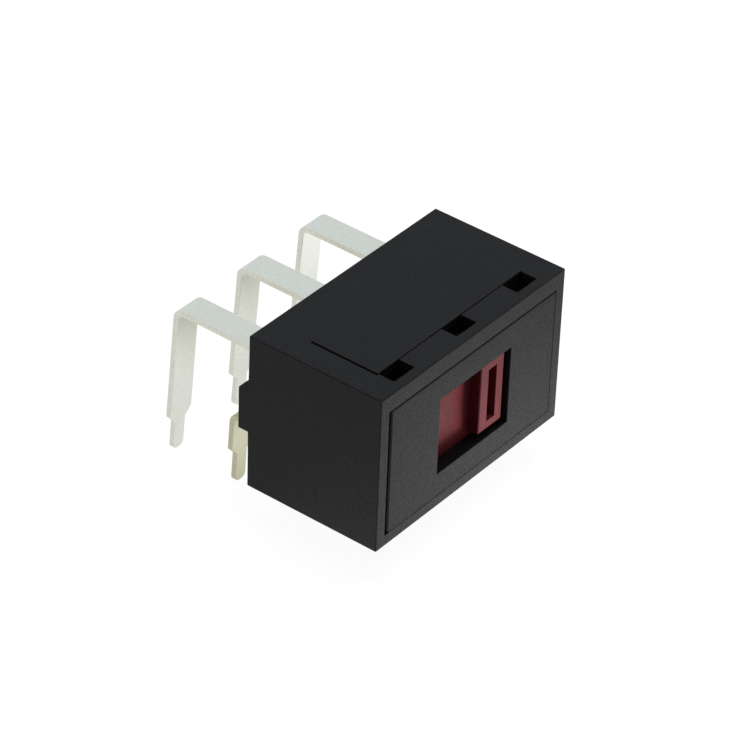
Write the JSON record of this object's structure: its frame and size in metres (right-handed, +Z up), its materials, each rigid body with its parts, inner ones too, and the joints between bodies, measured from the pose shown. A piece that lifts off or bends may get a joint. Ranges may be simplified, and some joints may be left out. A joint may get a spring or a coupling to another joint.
{
  "type": "slide switch",
  "caption": "Right-angle circuit-board slide switch: black box housing with a front window, red slider with a screwdriver slot, and bent flat solder terminals at the rear.",
  "frame": {"origin": "middle of the housing's underside, on the circuit board's top face", "axes": "+X along the slider's travel, -Y out of the front window, +Z up from the board"},
  "size_m": [0.0228, 0.0234, 0.0177],
  "materials": {
    "housing_plastic": "fine matte",
    "cover_plastic": "fine matte",
    "slider_plastic": "satin",
    "base_plastic": "matte",
    "tinned_strip": "matte tin plating",
    "silver_contact": "satin silver",
    "spring_bronze": "rolled strip",
    "spring_steel": "drawn wire"
  },
  "bodies": {
    "switch_body": {"housing": "housing_plastic", "front_cover": "cover_plastic", "terminal_base": "base_plastic", "terminal_upper_left": "tinned_strip", "terminal_upper_middle": "tinned_strip", "terminal_upper_right": "tinned_strip", "terminal_lower_left": "tinned_strip", "terminal_lower_middle": "tinned_strip", "terminal_lower_right": "tinned_strip", "contact_upper_left": "silver_contact", "contact_upper_middle": "silver_contact", "contact_upper_right": "silver_contact", "contact_lower_left": "silver_contact", "contact_lower_middle": "silver_contact", "contact_lower_right": "silver_contact"},
    "slider": {"slider": "slider_plastic", "bridge_upper": "spring_bronze", "bridge_lower": "spring_bronze", "bridge_spring_upper": "spring_steel", "bridge_spring_lower": "spring_steel", "detent_ball": "spring_steel", "detent_spring": "spring_steel"}
  },
  "joints": [
    {"name": "slider_travel", "type": "slide", "parent": "switch_body", "child": "slider", "axis": [1, 0, 0], "range_m": [-0.0053, 0]}
  ]
}
